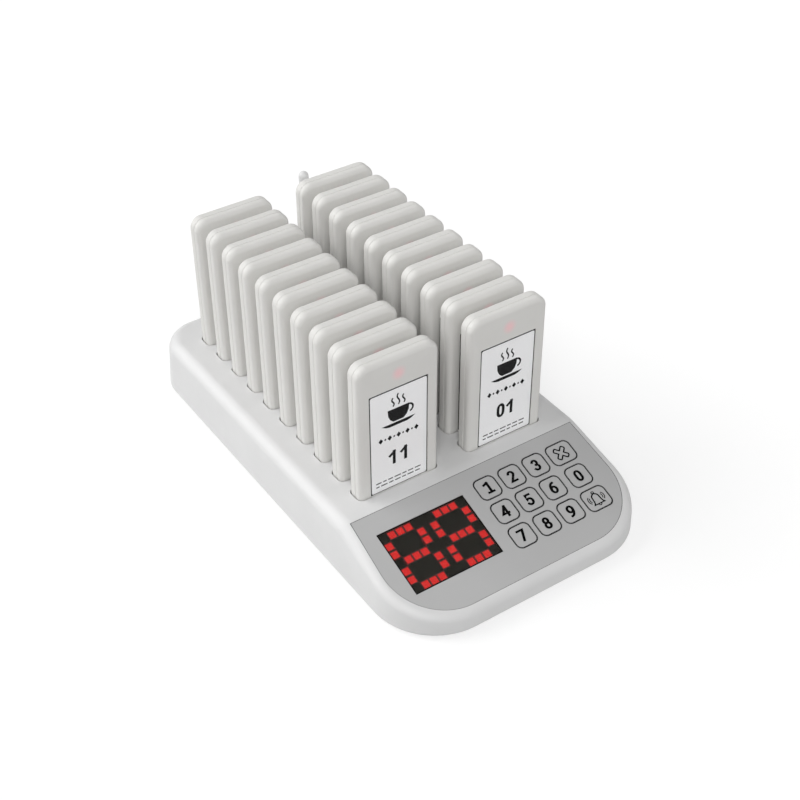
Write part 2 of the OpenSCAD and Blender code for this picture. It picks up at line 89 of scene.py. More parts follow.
def shifted(outline, x, y):
    return [(x + px, y + py) for px, py in outline]


def moveTo(x, y, z):
    return Matrix.Translation((x, y, z))


def tipped(degrees):
    # turned about the X axis
    return Matrix.Rotation(math.radians(degrees), 4, "X")


def strip(n, low, high):
    # the faces between two rings of n corners, the first ones at low and high in the list
    return [(low + i, low + (i + 1) % n, high + (i + 1) % n, high + i) for i in range(n)]


def loft(rings):
    n = len(rings[0])
    corners = [Vector(p) for ring in rings for p in ring]
    faces = [tuple(reversed(range(n))), tuple(range(n * (len(rings) - 1), n * len(rings)))]
    for k in range(len(rings) - 1):
        faces += strip(n, n * k, n * (k + 1))
    return corners, faces


def prism(outline, low, high):
    return loft([[(x, y, low) for x, y in outline], [(x, y, high) for x, y in outline]])


def box(low, high):
    outline = [(low[0], low[1]), (high[0], low[1]), (high[0], high[1]), (low[0], high[1])]
    return prism(outline, low[2], high[2])


def rod(x, y, low, high, radius, steps=32):
    return prism(arc((x, y), radius, 0, 360 - 360 / steps, steps - 1), low, high)


def placed(shape, matrix):
    return [matrix @ p for p in shape[0]], shape[1]


def together(shapes):
    corners, faces = [], []
    for points, sides in shapes:
        faces += [tuple(i + len(corners) for i in f) for f in sides]
        corners += points
    return corners, faces


def stroke(points, width, thickness, closed=False):
    # a flat ribbon of even width along a line
    n = len(points)
    sides = []
    for i, p in enumerate(points):
        before = points[i - 1] if closed or i else p
        after = points[(i + 1) % n] if closed or i < n - 1 else p
        a = Vector((p[0] - before[0], p[1] - before[1])).normalized() if before != p else None
        b = Vector((after[0] - p[0], after[1] - p[1])).normalized() if after != p else None
        a, b = a or b, b or a
        along = (a + b).normalized()
        reach = width / 2 / max(along.dot(a), 0.5)  # a sharp bend is cut short
        side = Vector((-along.y, along.x)) * reach
        sides += [Vector(p) + side, Vector(p) - side]
    corners = [Vector((q.x, q.y, z)) for q in sides for z in (0, thickness)]
    faces = []
    for i in range(n if closed else n - 1):
        a, b = 4 * i, 4 * ((i + 1) % n)
        faces += [(a + 1, a + 3, b + 3, b + 1), (a, b, b + 2, a + 2),
                  (a, a + 1, b + 1, b), (a + 2, b + 2, b + 3, a + 3)]
    if not closed:
        faces += [(0, 2, 3, 1), (4 * n - 4, 4 * n - 3, 4 * n - 1, 4 * n - 2)]
    return corners, faces


def squareLine(w, l, width, thickness):
    # a ribbon round a rectangle of half sizes w and l
    return stroke([(-w, -l), (w, -l), (w, l), (-w, l)], width, thickness, True)


def meshOf(name, shape, scale=1.0):
    bm = bmesh.new()
    corners = [bm.verts.new(p * scale) for p in shape[0]]
    for f in shape[1]:
        bm.faces.new([corners[i] for i in f])
    bmesh.ops.recalc_face_normals(bm, faces=bm.faces)
    mesh = bpy.data.meshes.new(name)
    bm.to_mesh(mesh)
    bm.free()
    return mesh


def flatMesh(name, shape):
    return meshOf(name, shape, mm)


cutAway = "DIFFERENCE"
# how far cuts reach past what they open, in millimetres
cutReach = {"past": 1, "around": 5, "overSlope": 10, "height": 60}


def carved(mesh, *cuts):
    # cuts are (shape, operation) pairs, done in turn on a mesh that is still in millimetres
    for shape, operation in cuts:
        work = bpy.data.objects.new("work", mesh)
        toolMesh = shape if isinstance(shape, bpy.types.Mesh) else meshOf("tool", shape)
        tool = bpy.data.objects.new("tool", toolMesh)
        scene.collection.objects.link(work)
        scene.collection.objects.link(tool)
        cut = work.modifiers.new("cut", "BOOLEAN")
        cut.operation, cut.solver, cut.object = operation, "EXACT", tool
        graph = bpy.context.evaluated_depsgraph_get()
        mesh = bpy.data.meshes.new_from_object(work.evaluated_get(graph))
        bpy.data.objects.remove(work)
        bpy.data.objects.remove(tool)
    return mesh


# millimetres, degrees and the weight of large faces in the normals
smoothing = {"weld": 1e-4, "hullWeld": 0.02, "flatAngle": 0.3, "sharpAngle": 32, "faceWeight": 50}


def welded(bm, distance):
    # joins corners that meet, and clears the edges that divide a flat face
    flat = math.radians(smoothing["flatAngle"])
    bmesh.ops.remove_doubles(bm, verts=bm.verts, dist=distance)
    bmesh.ops.dissolve_limit(bm, angle_limit=flat, verts=bm.verts, edges=bm.edges)


def finished(mesh, sharpAngle=smoothing["sharpAngle"]):
    # to metres; rounded surfaces shade smoothly, and edges sharper than the angle stay crisp
    bm = bmesh.new()
    bm.from_mesh(mesh)
    welded(bm, smoothing["weld"])
    for face in bm.faces:
        face.smooth = True
    for edge in bm.edges:
        soft = len(edge.link_faces) == 2 and edge.calc_face_angle(0) < math.radians(sharpAngle)
        edge.smooth = soft
    bm.to_mesh(mesh)
    bm.free()
    mesh.transform(Matrix.Scale(mm, 4))
    work = bpy.data.objects.new("work", mesh)
    scene.collection.objects.link(work)
    weighted = work.modifiers.new("normals", "WEIGHTED_NORMAL")
    weighted.keep_sharp, weighted.weight = True, smoothing["faceWeight"]
    graph = bpy.context.evaluated_depsgraph_get()
    done = bpy.data.meshes.new_from_object(
        work.evaluated_get(graph), preserve_all_data_layers=True, depsgraph=graph)
    bpy.data.objects.remove(work)
    done.name = mesh.name
    return done


def addPiece(name, mesh, material, body, nodes=(), at=(0, 0, 0)):
    obj = bpy.data.objects.new(name, mesh)
    scene.collection.objects.link(obj)
    obj.location = Vector(at) * mm
    if not mesh.materials:
        mesh.materials.append(material)
    bpy.context.view_layer.update()
    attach(obj, body)
    if nodes:
        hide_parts(*nodes)


# finishes: all noise is laid in object space, with its scale per metre

def newMaterial(name, **sockets):
    # sockets are named with _ for each space
    material = bpy.data.materials.new(name)
    material.use_nodes = True
    tree = material.node_tree
    surface = tree.nodes["Principled BSDF"]
    for key, value in sockets.items():
        surface.inputs[key.replace("_", " ")].default_value = value
    return material, tree, surface


def makeNode(tree, kind, inputs=None, **settings):
    node = tree.nodes.new(kind)
    for key, value in settings.items():
        setattr(node, key, value)
    for key, value in (inputs or {}).items():
        if isinstance(value, bpy.types.NodeSocket):
            tree.links.new(value, node.inputs[key])
        else:
            node.inputs[key].default_value = value
    return node


def srgb(r, g, b):
    # a colour as read off a picture, 0 to 255
    def linear(c):
        c /= 255
        return c / 12.92 if c <= 0.04045 else ((c + 0.055) / 1.055) ** 2.4
    return (linear(r), linear(g), linear(b), 1)


def shade(colour, factor):
    return tuple(min(c * factor, 1) for c in colour[:3]) + (1,)


def noise(tree, scale, detail):
    where = makeNode(tree, "ShaderNodeTexCoord").outputs["Object"]
    inputs = {"Vector": where, "Scale": scale, "Detail": detail}
    return makeNode(tree, "ShaderNodeTexNoise", inputs).outputs["Fac"]


def mapped(tree, value, low, high, band=(0.0, 1.0), **settings):
    # carries the band of a value over to the range from low to high
    inputs = {"Value": value, "From Min": band[0], "From Max": band[1], "To Min": low, "To Max": high}
    return makeNode(tree, "ShaderNodeMapRange", inputs, **settings).outputs["Result"]


noiseBand = (0.3, 0.7)  # nearly all of a noise lies between these


def cloudy(tree, cloud, darker, lighter):
    # a colour that drifts between two tones
    ramp = makeNode(tree, "ShaderNodeValToRGB", {"Fac": cloud})
    for end, place, colour in zip(ramp.color_ramp.elements, noiseBand, (darker, lighter)):
        end.position, end.color = place, colour
    return ramp.outputs["Color"]


plasticLook = {"mottleScale": 38.0, "mottleDetail": 4.0, "sheenScale": 160.0, "sheenDetail": 3.0,
               "sheenSpread": 0.04, "grainDetail": 2.0, "grainStrength": 0.35}


def mouldedPlastic(name, colour, roughness, grainScale, grainDepth, mottle=0.02, **sockets):
    # faint mottling, uneven sheen and a fine spark-eroded grain, its depth in millimetres
    material, tree, surface = newMaterial(name, **sockets)
    cloud = noise(tree, plasticLook["mottleScale"], plasticLook["mottleDetail"])
    tone = cloudy(tree, cloud, shade(colour, 1 - mottle), shade(colour, 1 + mottle))
    tree.links.new(tone, surface.inputs["Base Color"])
    sheen, spread = noise(tree, plasticLook["sheenScale"], plasticLook["sheenDetail"]), plasticLook["sheenSpread"]
    rough = mapped(tree, sheen, roughness - spread, roughness + spread, noiseBand)
    tree.links.new(rough, surface.inputs["Roughness"])
    grain = noise(tree, grainScale, plasticLook["grainDetail"])
    bump = makeNode(tree, "ShaderNodeBump", {"Height": grain, "Strength": plasticLook["grainStrength"],
                                             "Distance": grainDepth * mm})
    tree.links.new(bump.outputs["Normal"], surface.inputs["Normal"])
    return material


# name, colour, roughness, grain scale, grain depth, mottle
whiteHousing = mouldedPlastic("whiteHousing", srgb(213, 213, 213), 0.48, 2600, 0.05)
greyFaceplate = mouldedPlastic("greyFaceplate", srgb(178, 178, 178), 0.42, 1800, 0.03, 0.012)
greyKeyTop = mouldedPlastic("greyKeyTop", srgb(178, 178, 178), 0.40, 1800, 0.03, 0.012)
blackPlastic = mouldedPlastic("blackPlastic", srgb(26, 26, 27), 0.35, 2200, 0.04, 0.10)
# black print, and the same black for the painted shade in the gaps round the keys and the faceplate and in the
# label frame
blackInkAndShade = mouldedPlastic("blackInkAndShade", srgb(6, 6, 6), 0.70, 2200, 0.01, 0.10, Specular_IOR_Level=0.04)
greyInk = mouldedPlastic("greyInk", srgb(72, 72, 74), 0.65, 2200, 0.01, 0.06, Specular_IOR_Level=0.1)
rubberFoot = mouldedPlastic("rubberFoot", srgb(34, 34, 35), 0.80, 900, 0.15, 0.12)
siliconeMat = mouldedPlastic("siliconeMat", srgb(214, 214, 210), 0.60, 1200, 0.05, 0.03)
displayBlock = mouldedPlastic("displayBlock", srgb(44, 43, 37), 0.70, 700, 0.05, 0.12, Specular_IOR_Level=0.15)
batteryWrap = mouldedPlastic("batteryWrap", srgb(150, 158, 170), 0.28, 500, 0.10, 0.05, Metallic=0.6)
labelPaper = mouldedPlastic("labelPaper", srgb(247, 247, 248), 0.62, 1500, 0.03, 0.008)
pagerPlastic = {"colour": srgb(217, 216, 213), "roughness": 0.50, "grainScale": 2400,
                "grainDepth": 0.04, "mottle": 0.015, "Specular_IOR_Level": 0.25}
pagerBackShell = mouldedPlastic("pagerBackShell", **pagerPlastic)

# the pink glow of the light behind the front shell, in millimetres from the pager's foot
pagerLight = {"height": 94.7, "faceY": -5.7, "radius": 6.5, "blend": 0.8,
              "tint": srgb(240, 200, 204), "shine": srgb(255, 60, 70), "strength": 0.02}


def pagerFrontMaterial():
    material = mouldedPlastic("pagerFrontShell", **pagerPlastic)
    tree = material.node_tree
    surface = tree.nodes["Principled BSDF"]
    shell = surface.inputs["Base Color"].links[0].from_socket
    where = makeNode(tree, "ShaderNodeTexCoord").outputs["Object"]
    lamp = (0, pagerLight["faceY"] * mm, pagerLight["height"] * mm)
    away = makeNode(tree, "ShaderNodeVectorMath", {0: where, 1: lamp}, operation="DISTANCE")
    glow = mapped(tree, away.outputs["Value"], pagerLight["blend"], 0.0,
                  (0.0, pagerLight["radius"] * mm), interpolation_type="SMOOTHERSTEP")
    for socket, plain, lit in (("Base Color", shell, pagerLight["tint"]),
                               ("Emission Color", (0, 0, 0, 1), pagerLight["shine"])):
        mix = makeNode(tree, "ShaderNodeMixRGB", {"Fac": glow, "Color1": plain, "Color2": lit})
        tree.links.new(mix.outputs["Color"], surface.inputs[socket])
    surface.inputs["Emission Strength"].default_value = pagerLight["strength"]
    return material


def glowing(name, dim, bright, scale, detail, **sockets):
    # a surface that shines by itself, a little unevenly
    material, tree, surface = newMaterial(name, **sockets)
    light = cloudy(tree, noise(tree, scale, detail), dim, bright)
    tree.links.new(light, surface.inputs["Emission Color"])
    return material


def unevenGloss(name, scale, detail, roughness, spread, **sockets):
    # a smooth surface with faint marks in its gloss
    material, tree, surface = newMaterial(name, **sockets)
    rough = mapped(tree, noise(tree, scale, detail), roughness, roughness + spread)
    tree.links.new(rough, surface.inputs["Roughness"])
    return material


def clearPlastic(name, roughness, **sockets):
    material = unevenGloss(name, 70.0, 5.0, roughness, 0.08, **sockets)
    material.surface_render_method = "BLENDED"
    return material


def metal(name, roughness, colour):
    return unevenGloss(name, 900.0, 3.0, roughness, 0.15, Base_Color=colour, Metallic=1.0)


def boardMaterial():
    # green lacquer with the weave of the board showing through
    material, tree, surface = newMaterial("circuitBoard", Roughness=0.3)
    where = makeNode(tree, "ShaderNodeTexCoord").outputs["Object"]
    inputs = {"Vector": where, "Scale": 1800.0, "Color1": srgb(24, 92, 48), "Color2": srgb(20, 80, 42)}
    weave = makeNode(tree, "ShaderNodeTexChecker", inputs)
    tree.links.new(weave.outputs["Color"], surface.inputs["Base Color"])
    return material


pagerFrontShell = pagerFrontMaterial()
# the lit squares, and the red that spreads from them into the block
litDot = glowing("litDot", srgb(222, 30, 28), srgb(238, 42, 38), 420.0, 1.0,
                 Emission_Strength=1.2, Base_Color=srgb(120, 16, 16), Roughness=0.5)
dotGlow = glowing("dotGlow", srgb(62, 8, 6), srgb(84, 12, 9), 300.0, 2.0,
                  Emission_Strength=1.0, Base_Color=srgb(30, 8, 8), Roughness=0.6)
smokedWindow = clearPlastic("smokedWindow", 0.12, Base_Color=srgb(28, 27, 24), Alpha=0.25,
                            Specular_IOR_Level=0.25)
clearCover = clearPlastic("clearCover", 0.10, Base_Color=srgb(244, 245, 247), Alpha=0.01,
                          Specular_IOR_Level=0.05)
goldPin = metal("goldPin", 0.2, (0.83, 0.62, 0.26, 1))
zincSteel = metal("zincSteel", 0.28, (0.62, 0.63, 0.65, 1))
circuitBoard = boardMaterial()

# the pieces that are carried over as they are
finishes = {
    "bottom_cover": whiteHousing, "front_panel": greyFaceplate, "display_window": smokedWindow,
    "display_module": displayBlock, "display_dots": litDot, "keypad_mat": siliconeMat,
    "main_board": circuitBoard, "buzzer": blackPlastic, "charging_board": circuitBoard,
    "charging_contacts": goldPin, "housing_screws": zincSteel, "rubber_feet": rubberFoot,
    "antenna_rod": whiteHousing, "antenna_collar": whiteHousing, "power_inlet": blackPlastic}
insides = {"board": circuitBoard, "battery": batteryWrap, "motor": zincSteel}
for opened in ("pager_01_", "pager_11_"):
    finishes.update({opened + inside: finish for inside, finish in insides.items()})
finishes.update({name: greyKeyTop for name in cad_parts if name.startswith("key_")})
for nodeName, finish in finishes.items():
    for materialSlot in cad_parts[nodeName].material_slots:
        materialSlot.material = finish
print("finishes on", len(finishes), "carried-over pieces")


# top housing: heights from the table and lengths from the middle, in millimetres and degrees
base = {"width": 174.6, "length": 306.4, "deck": 39.0, "frontCorner": 41.0, "rearCorner": 26.0,
        "draft": 4.0, "deckEdge": 8.7, "lipEdge": 5.5, "lowEdge": 3.0, "foot": 1.8, "wall": 2.4,
        "slope": 18.0, "slopeRun": 78.0, "creaseRadius": 30.0, "creaseSteps": 6,
        "sideRoom": 2.4, "topRoom": 3.4, "roomStep": 0.5}
draftTan = math.tan(math.radians(base["draft"]))
slopeSin, slopeCos = math.sin(math.radians(base["slope"])), math.cos(math.radians(base["slope"]))
creaseY = base["slopeRun"] - base["length"] / 2
onSlope = moveTo(0, creaseY, base["deck"]) @ tipped(base["slope"])  # -Y runs down the slope


def baseOutline(inset):
    w, l, front, rear = base["width"] / 2, base["length"] / 2, base["frontCorner"], base["rearCorner"]
    return mirrored(arc((w - front, front - l), front - inset, -90, 0, 40)
                    + arc((w - rear, l - rear), rear - inset, 0, 90, 32))


def ringPoints(centre, major, tube, around=112, across=28, matrix=None):
    # points on a round edge: a tube bent round an upright axis
    points = []
    for i in range(around):
        a = math.tau * i / around
        for j in range(across):
            b = math.tau * j / across
            reach = major + tube * math.cos(b)
            p = Vector((centre[0] + reach * math.cos(a), centre[1] + reach * math.sin(a),
                        centre[2] + tube * math.sin(b)))
            points.append(matrix @ p if matrix else p)
    return points


def housingForm():
    # one convex form: round low edge, drafted sides, round deck edge, soft crease and round lip
    w, l, deck = base["width"] / 2, base["length"] / 2, base["deck"]
    rearCorner, frontCorner, lowEdge = base["rearCorner"], base["frontCorner"], base["lowEdge"]
    deckEdge, lipEdge, crease = base["deckEdge"], base["lipEdge"], base["creaseRadius"]
    draftCos = math.cos(math.radians(base["draft"]))
    rear = (w - rearCorner, l - rearCorner)
    front = (w - frontCorner, frontCorner - l)
    wideZ = base["foot"] + lowEdge
    deckZ = deck - deckEdge
    deckIn = (deckZ - wideZ) * draftTan + deckEdge / draftCos
    lipZ = deck - base["slopeRun"] * slopeSin / slopeCos
    lipIn = (lipZ - wideZ) * draftTan + lipEdge / draftCos
    lipMajor = frontCorner - lipIn
    lipU = (creaseY + l - lipIn + lipEdge * slopeSin) / slopeCos - lipMajor
    bendY = creaseY + crease * math.tan(math.radians(base["slope"] / 2))
    bend = crease - deckEdge
    points = ringPoints((*rear, wideZ), rearCorner - lowEdge, lowEdge)
    points += ringPoints((*front, wideZ), frontCorner - lowEdge, lowEdge)
    points += ringPoints((*rear, deckZ), rearCorner - deckIn, deckEdge)
    for i in range(base["creaseSteps"] + 1):
        a = math.radians(base["slope"] * i / base["creaseSteps"])
        middle = (w - deckIn, bendY - bend * math.sin(a), deck - crease + bend * math.cos(a))
        points += ringPoints(middle, 0, deckEdge, around=40, across=36)
    points += ringPoints((w - lipIn - lipMajor, -lipU, -lipEdge), lipMajor, lipEdge, matrix=onSlope)
    bm = bmesh.new()
    for p in points:
        bm.verts.new(p)
        bm.verts.new((-p.x, p.y, p.z))
    bmesh.ops.convex_hull(bm, input=bm.verts)
    inside = [v for v in bm.verts if not v.link_faces]
    bmesh.ops.delete(bm, geom=inside, context="VERTS")
    welded(bm, smoothing["hullWeld"])
    bmesh.ops.recalc_face_normals(bm, faces=bm.faces)
    mesh = bpy.data.meshes.new("housingForm")
    bm.to_mesh(mesh)
    bm.free()
    return mesh


slots = {"perRow": 10, "pitch": 20.0, "rowSpacing": 75.4, "first": 15.6, "gap": 0.6,
         "bottom": 24.2, "floor": 1.6, "rimRadius": 0.5, "rimAngles": (20, 40, 60, 80),
         "wellWidth": 57.8, "wellDepth": 15.2, "wellCorner": 5.4, "pinSpread": 16.0, "pinHole": 1.5}
pager = {"width": 54.0, "height": 106.0, "thickness": 11.4, "corner": 7.5, "edge": 3.0,
         "edgeAngles": range(9, 91, 9), "wall": 1.5, "bottom": 24.5, "parting": 0.8,
         "grooveDepth": 0.3, "grooveWidth": 0.8, "grooveEase": 0.08, "grooveBlend": 0.12,
         "hollowHalf": 3.3, "contactHole": 2.5, "contactTop": 3.5, "sharpAngle": 50}


def pagerPlace(number):
    side = 1 if number <= slots["perRow"] else -1
    row = (number - 1) % slots["perRow"]
    return side * slots["rowSpacing"] / 2, creaseY + slots["first"] + row * slots["pitch"]


def slotCut(x, y):
    # a slot with a rounded rim at the deck
    w, t = pager["width"] + 2 * slots["gap"], pager["thickness"] + 2 * slots["gap"]
    corner, rim = pager["edge"] + slots["gap"], slots["rimRadius"]
    start = base["deck"] - rim
    levels = [(0, slots["bottom"]), (0, start)]
    levels += [(rim * (1 - math.cos(a)), start + rim * math.sin(a))
               for a in map(math.radians, slots["rimAngles"])]
    levels.append((rim, base["deck"] + cutReach["past"]))
    return loft([[(px, py, z) for px, py in shifted(roundedRect(w + 2 * g, t + 2 * g, corner + g), x, y)]
                 for g, z in levels])


pagerNumbers = range(1, 2 * slots["perRow"] + 1)
slotPlaces = [pagerPlace(number) for number in pagerNumbers]

# on the slope, x from the middle line and u down from the crease
faceplate = {"backWidth": 157.6, "frontWidth": 161.6, "length": 74.3, "corner": 36.5,
             "start": 1.8, "top": -0.15, "floor": -1.05, "gap": 0.15, "under": -3.45}
window = {"width": 59.1, "length": 41.6, "x": -40.2, "u": 35.9, "room": 0.3}
keypad = {"size": 14.0, "wide": 16.8, "corner": 3.6, "gap": 0.3, "firstX": 5.7, "firstU": 17.8,
          "pitchX": 17.7, "pitchU": 17.75, "widePitch": 19.1, "wideKeys": ("cancel", "call"),
          "names": ("1", "2", "3", "cancel", "4", "5", "6", "0", "7", "8", "9", "call")}


def faceplateOutline(grow):
    # straight sides from the back corners, each touching the round front corner
    r = faceplate["corner"] + grow
    back = Vector((faceplate["backWidth"] / 2 + grow, -faceplate["start"] + grow))
    centre = Vector((faceplate["frontWidth"] / 2 - faceplate["corner"],
                     faceplate["corner"] - faceplate["start"] - faceplate["length"]))
    reach = back - centre
    touch = math.degrees(math.atan2(reach.y, reach.x) - math.acos(r / reach.length))
    return mirrored([tuple(back)] + arc(centre, r, touch, -90, 36))


def keyPlace(i):
    column, row = i % 4, i // 4
    along = column * keypad["pitchX"] if column < 3 else 2 * keypad["pitchX"] + keypad["widePitch"]
    width = keypad["wide"] if keypad["names"][i] in keypad["wideKeys"] else keypad["size"]
    return keypad["firstX"] + along, -(keypad["firstU"] + row * keypad["pitchU"]), width


def keyOutline(width, grow, steps=10):
    return roundedRect(width + 2 * grow, keypad["size"] + 2 * grow, keypad["corner"] + grow, steps)


screws = {"x": 77.5, "behindCrease": 1.6, "midSlots": 3.5, "rearY": 123.2,
          "boss": 4.0, "bossFoot": 4.61, "hole": 1.5, "holeTop": 16.8}
posts = {"x": (-67.75, -4.5, 70.2), "u": (7.3, 64.8), "radius": 2.3, "foot": -7.75}
antenna = {"x": 24.8, "y": 137.4, "hole": 2.35, "holeFoot": 35, "holeTop": 46}
inlet = {"x": -45, "z": 14.7, "hole": 4.0, "holeDepth": 7, "pin": 1.04, "pinFrom": 1.95, "pinTo": 12}
onRearWall = moveTo(inlet["x"], base["length"] / 2, inlet["z"]) @ tipped(90)
screwRows = (creaseY + screws["behindCrease"],
             creaseY + slots["first"] + screws["midSlots"] * slots["pitch"], screws["rearY"])
screwPlaces = [(s * screws["x"], y) for s in (-1, 1) for y in screwRows]


def housingCavity():
    # the room inside, less the wells, the screw bosses and the posts of the main board
    past, around, height = cutReach["past"], cutReach["around"], cutReach["height"]
    sideIn = base["wall"] + base["sideRoom"]
    topIn, under = sideIn + base["topRoom"], base["deck"] - base["wall"]
    step = base["deck"] - base["deckEdge"] - base["roomStep"]
    levels = ((sideIn, -past), (sideIn, step), (topIn, step), (topIn, under))
    room = meshOf("room", loft([[(x, y, z) for x, y in baseOutline(inset)] for inset, z in levels]))
    # what lies below the slope and the deck, seen from the side
    half, drop = base["length"] / 2 + around, -faceplate["under"] / slopeCos
    run = base["slopeRun"] + around
    side = [(-half, -around), (half, -around), (half, under),
            (creaseY + (base["deck"] - under - drop) * slopeCos / slopeSin, under),
            (creaseY - run, base["deck"] - drop - run * slopeSin / slopeCos)]
    sideways = Matrix(((0, 0, 1, 0), (1, 0, 0, 0), (0, 1, 0, 0), (0, 0, 0, 1)))
    belowTop = placed(prism(side, -base["width"] / 2, base["width"] / 2), sideways)
    well = roundedRect(slots["wellWidth"], slots["wellDepth"], slots["wellCorner"])
    solids = [prism(shifted(well, x, y), slots["bottom"] - slots["floor"], height) for x, y in slotPlaces]
    solids += [rod(x, y, screws["bossFoot"], height, screws["boss"]) for x, y in screwPlaces]
    solids += [placed(rod(x, -u, posts["foot"], past, posts["radius"]), onSlope)
               for x in posts["x"] for u in posts["u"]]
    return carved(room, (belowTop, "INTERSECT"), (together(solids), cutAway))


def topHousing():
    past, overSlope = cutReach["past"], cutReach["overSlope"]
    pinFoot, pinTop = slots["bottom"] - slots["floor"] - past, slots["bottom"] + past
    pinHoles = [rod(x + s * slots["pinSpread"], y, pinFoot, pinTop, slots["pinHole"])
                for x, y in slotPlaces for s in (-1, 1)]
    recess = prism(faceplateOutline(faceplate["gap"]), faceplate["floor"], overSlope)
    foot = faceplate["under"] - past
    openings = [prism(shifted(keyOutline(width, keypad["gap"]), x, y), foot, overSlope)
                for x, y, width in map(keyPlace, range(len(keypad["names"])))]
    w, l = window["width"] / 2 + window["room"], window["length"] / 2 + window["room"]
    openings.append(box((window["x"] - w, -window["u"] - l, foot),
                        (window["x"] + w, -window["u"] + l, overSlope)))
    smallHoles = [rod(x, y, -past, screws["holeTop"], screws["hole"]) for x, y in screwPlaces]
    smallHoles.append(rod(antenna["x"], antenna["y"], antenna["holeFoot"], antenna["holeTop"],
                          antenna["hole"]))
    smallHoles.append(placed(rod(0, 0, -past, inlet["holeDepth"], inlet["hole"]), onRearWall))
    return carved(
        housingForm(),
        (housingCavity(), cutAway),
        (together([slotCut(x, y) for x, y in slotPlaces]), cutAway),
        (together(pinHoles), cutAway),
        (placed(recess, onSlope), cutAway),
        (placed(together(openings), onSlope), cutAway),
        (together(smallHoles), cutAway))


addPiece("housingShell", finished(topHousing()), whiteHousing, "base", ["top_housing"])
print("top housing made")


# pagers: each is drawn round its own foot, face towards -Y; the label pocket comes with the label
label = {"width": 39.2, "height": 71.7, "drop": 20.4, "depth": 0.9, "corner": 0.6,
         "rimBevel": 0.14, "rimDepth": 0.12, "rimOver": 0.02, "play": 0.1,
         "card": 0.3, "cardCorner": 0.5, "coverFrom": 0.36, "coverTo": 0.7, "ink": 0.02,
         # the frame widths hold both print and painted shade of the pocket's rim
         "frameTop": 1.15, "frameFoot": 0.4, "frameLeft": 0.85, "frameRight": 0.5, "frameCorner": 1.2,
         "numberX": 0.75, "numberY": -13.6, "rightDrop": 1.0}
labelMiddle = pager["height"] - label["drop"] - label["height"] / 2
onLabel = moveTo(0, label["depth"] - pager["thickness"] / 2, labelMiddle) @ tipped(90)
onCard = onLabel @ moveTo(0, 0, label["card"])


def pagerRing(inset, y, steps):
    outline = roundedRect(pager["width"] - 2 * inset, pager["height"] - 2 * inset,
                          pager["corner"] - inset, steps)
    return [(x, y, z + pager["height"] / 2) for x, z in outline]


def labelOutline(grow, corner):
    return roundedRect(label["width"] + 2 * grow, label["height"] + 2 * grow, corner, 4)


def pagerHalf(name, side):
    # swept from the parting line over the soft edge to the face; side -1 is the front
    half, edge, past = pager["thickness"] / 2, pager["edge"], cutReach["past"]
    start, deep, ease = -side * pager["parting"], pager["grooveDepth"], pager["grooveEase"]
    lip = start + pager["grooveWidth"] / 2
    levels = [(deep, start), (deep, lip - ease), (ease, lip), (0, lip + pager["grooveBlend"]),
              (0, half - edge)]
    levels += [(edge * (1 - math.cos(a)), half - edge + edge * math.sin(a))
               for a in map(math.radians, pager["edgeAngles"])]
    form = meshOf(name, loft([pagerRing(inset, side * y, 14) for inset, y in levels]))
    hollow = loft([pagerRing(pager["wall"], s * pager["hollowHalf"], 6) for s in (-1, 1)])
    holes = [rod(s * slots["pinSpread"], 0, -past, pager["contactTop"], pager["contactHole"])
             for s in (-1, 1)]
    cuts = [(hollow, cutAway), (together(holes), cutAway)]
    if side < 0:
        # the label pocket, with a fine bevel round its rim
        bevel = label["rimBevel"]
        rims = ((0, label["depth"]), (0, label["rimDepth"]), (bevel, -label["rimOver"]), (bevel, -past))
        pocket = loft([[(x, depth - half, z + labelMiddle) for x, z in labelOutline(g, label["corner"] + g)]
                       for g, depth in rims])
        cuts.append((pocket, cutAway))
    return finished(carved(form, *cuts), pager["sharpAngle"])


def figureLines(character, foot):
    # the middle lines of a figure, in a square that reaches from -1 to 1
    def oval(y, wide, high):
        ring = arc((0, y), wide, 0, 345, 23, high / wide)
        return ring + ring[:1]
    if character == "0":
        sides = arc((0, 0.35), 1.0, 0, 180, 12, 0.65) + arc((0, -0.35), 1.0, 180, 360, 12, 0.65)
        return [sides + sides[:1]]
    if character == "1":
        flag = [(-1.4, 0.73 if foot else 0.4), (0, 1.0 if foot else 0.92)]
        return [flag, [(0, 1), (0, -1)]] + ([[(-1.1, -1), (0.9, -1)]] if foot else [])
    if character == "2":
        return [arc((0, 0.5), 0.95, 160, -38, 14, 0.53) + [(-1, -1), (1, -1)]]
    if character == "3":
        return [arc((-0.05, 0.5), 0.9, 150, -80, 14, 0.56), arc((-0.05, -0.47), 1.02, 80, -152, 14, 0.52)]
    if character == "4":
        return [[(0.6, 1), (-1.2, -0.45), (1.1, -0.45)], [(0.6, 1), (0.6, -1)]]
    if character == "5":
        return [[(0.85, 1), (-0.7, 1), (-0.8, 0.09)] + arc((-0.1, -0.38), 1.08, 130, -150, 16, 0.574)]
    if character == "7":
        return [[(-1.15, 1), (0.95, 1), (-0.55, -1)]]
    if character == "8":
        return [oval(0.5, 0.85, 0.5), oval(-0.47, 1.0, 0.53)]
    six = [arc((0.75, -0.35), 1.75, 92, 180, 14, 0.77), oval(-0.38, 1.0, 0.62)]
    return six if character == "6" else [[(-x, -y) for x, y in line] for line in six]


